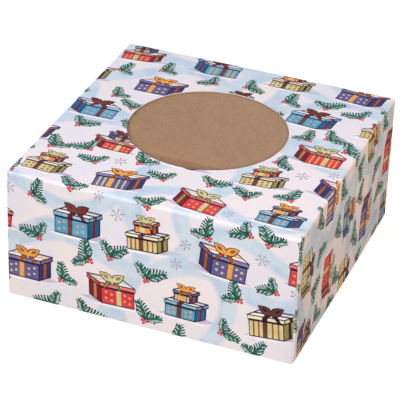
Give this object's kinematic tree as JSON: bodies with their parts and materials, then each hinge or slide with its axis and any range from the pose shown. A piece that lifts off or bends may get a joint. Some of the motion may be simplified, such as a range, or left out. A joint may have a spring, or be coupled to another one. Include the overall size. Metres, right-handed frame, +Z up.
{
  "type": "cupcake box",
  "caption": "Square folded carton for cupcakes with a full-depth hinged lid, a round film window and a low card insert with round cup holes.",
  "frame": {"origin": "on the table, under the middle of the closed box", "axes": "+Z up, -Y towards the front of the box, +X to the right seen from the front; the lid's crease runs along X at the back"},
  "size_m": [0.16, 0.16, 0.075],
  "materials": {
    "printed_board": "matt coated board, printed outside and brown kraft inside",
    "tray_board": "matt brown kraft board inside, white coated outside",
    "clear_film": "clear gloss film",
    "insert_card": "matt brown kraft card"
  },
  "bodies": {
    "tray": {"floor_panel": "tray_board", "front_wall": "tray_board", "back_wall": "printed_board", "left_wall": "tray_board", "right_wall": "tray_board", "front_left_tray_tab": "tray_board", "front_right_tray_tab": "tray_board", "back_left_tray_tab": "tray_board", "back_right_tray_tab": "tray_board"},
    "lid": {"lid_top_panel": "printed_board", "window_film": "clear_film", "lid_front_skirt": "printed_board", "lid_left_skirt": "printed_board", "lid_right_skirt": "printed_board", "lid_left_corner_tab": "printed_board", "lid_right_corner_tab": "printed_board"},
    "insert": {"insert_deck": "insert_card", "insert_front_leg": "insert_card", "insert_back_leg": "insert_card", "insert_left_leg": "insert_card", "insert_right_leg": "insert_card"}
  },
  "joints": [
    {"name": "lid_hinge", "type": "hinge", "parent": "tray", "child": "lid", "pos_m": [0, 0.07975, 0.07475], "axis": [-1, 0, 0], "range_deg": [0, 205]},
    {"name": "insert_lift", "type": "slide", "parent": "tray", "child": "insert", "axis": [0, 0, 1], "range_m": [0, 0.055]}
  ]
}
